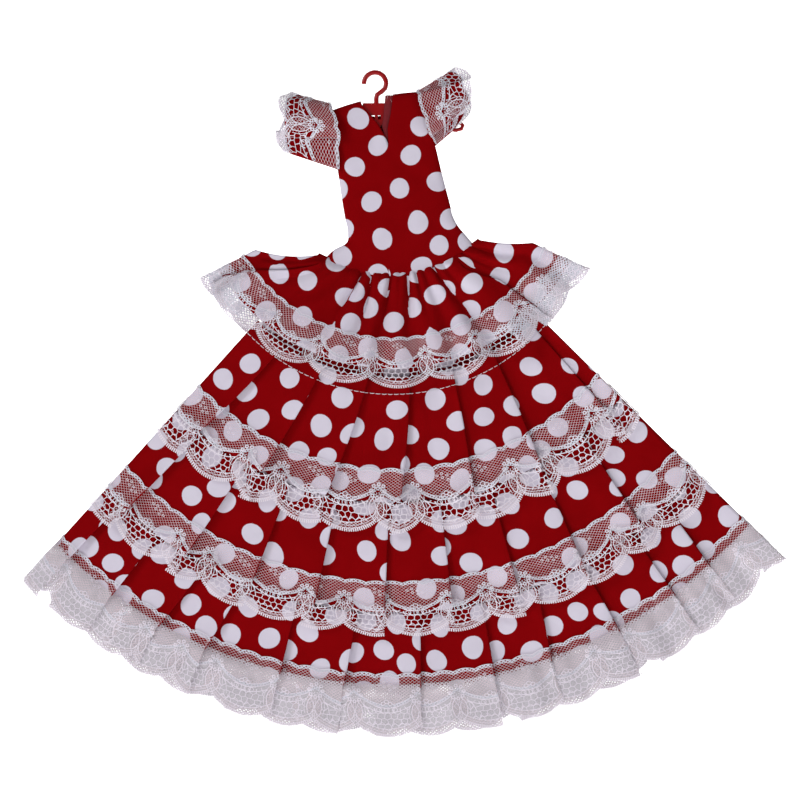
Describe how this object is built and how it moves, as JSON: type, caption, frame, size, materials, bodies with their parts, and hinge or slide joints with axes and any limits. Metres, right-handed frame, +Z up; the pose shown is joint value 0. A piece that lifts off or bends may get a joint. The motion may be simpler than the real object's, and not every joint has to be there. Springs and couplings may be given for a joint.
{
  "type": "doll flamenco dress on a hanger",
  "caption": "Doll's polka dot flamenco dress with a gathered lace edged peplum and a tiered, pleated skirt, hanging flat on a small plastic hanger.",
  "frame": {"origin": "inside of the crown of the hanger's hook, where a rail holds it up", "axes": "+Z up, the dress hangs down along -Z; the front of the dress faces -Y; +X to the right in the picture"},
  "size_m": [0.4077, 0.0298, 0.3675],
  "materials": {
    "dotted_cotton": "matte",
    "white_lace": "matte",
    "moulded_plastic": "gloss"
  },
  "bodies": {
    "root": {"bodice_front": "dotted_cotton", "bodice_back": "dotted_cotton", "neck_facing": "dotted_cotton", "sleeve_left": "dotted_cotton", "sleeve_right": "dotted_cotton", "sleeve_left_lace": "white_lace", "sleeve_right_lace": "white_lace", "yoke_front": "dotted_cotton", "yoke_back": "dotted_cotton", "peplum_front": "dotted_cotton", "peplum_back": "dotted_cotton", "peplum_lace_front": "white_lace", "peplum_lace_back": "white_lace", "tier_upper_front": "dotted_cotton", "tier_upper_back": "dotted_cotton", "tier_middle_front": "dotted_cotton", "tier_middle_back": "dotted_cotton", "tier_lower_front": "dotted_cotton", "tier_lower_back": "dotted_cotton", "lace_upper_front": "white_lace", "lace_upper_back": "white_lace", "lace_middle_front": "white_lace", "lace_middle_back": "white_lace", "lace_hem_front": "white_lace", "lace_hem_back": "white_lace", "hanger": "moulded_plastic"}
  },
  "joints": []
}
